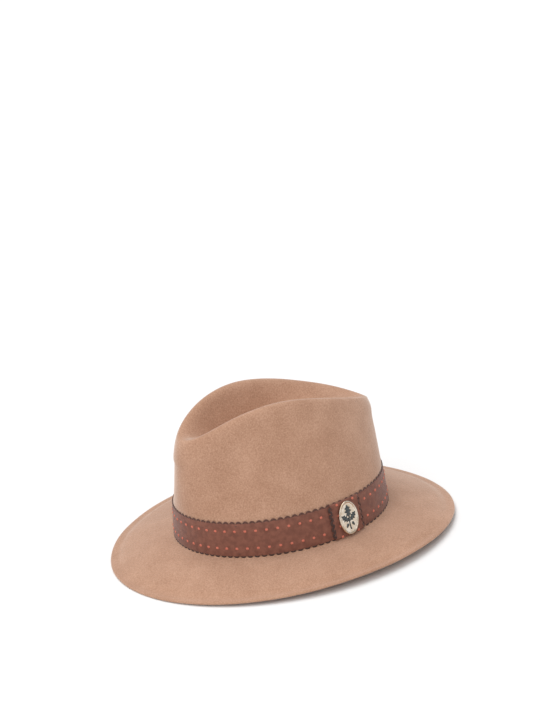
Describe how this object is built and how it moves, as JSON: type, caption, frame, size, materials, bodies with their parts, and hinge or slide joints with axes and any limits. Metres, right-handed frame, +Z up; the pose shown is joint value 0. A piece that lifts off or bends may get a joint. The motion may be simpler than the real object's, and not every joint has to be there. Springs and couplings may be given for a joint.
{
  "type": "fedora hat",
  "caption": "Wool felt fedora with a creased, pinched crown, downturned brim, picot-edged ribbon band, ribbon keeper and an oval metal badge.",
  "frame": {"origin": "on the surface that the hat stands on, under the middle of its bounding box; the front and back of the brim's edge touch that surface", "axes": "+Z up through the crown, -Y towards the front of the hat, +Y towards its back, +X towards the wearer's left, where the keeper and badge are"},
  "size_m": [0.2866, 0.3284, 0.141],
  "materials": {
    "felt": "brushed wool felt, short soft nap",
    "ribbon": "ribbed woven ribbon with looped edges and small coral dots",
    "thread": "matte sewing thread",
    "gold": "pale gold plate, polished",
    "enamel": "dark enamel",
    "leather": "smooth tan leather with fine grain",
    "tape": "thin woven tape",
    "reed": "pale plastic cord",
    "stitching": "tan thread",
    "bow": "narrow brown ribbon",
    "label": "blank woven label",
    "lining": "brown satin",
    "piping": "satin covered cord"
  },
  "bodies": {
    "root": {"felt_body": "felt", "ribbon_band": "ribbon", "keeper_wrap": "ribbon", "keeper_stitches": "thread", "band_tacks": "thread", "badge_plate": "gold", "badge_motif": "enamel", "badge_prongs": "gold", "sweatband": "leather", "reed_tape": "tape", "sweatband_reed": "reed", "sweatband_stitching": "stitching", "sweatband_bow": "bow", "size_label": "label", "lining_side": "lining", "lining_tip": "lining", "lining_piping": "piping"}
  },
  "joints": []
}
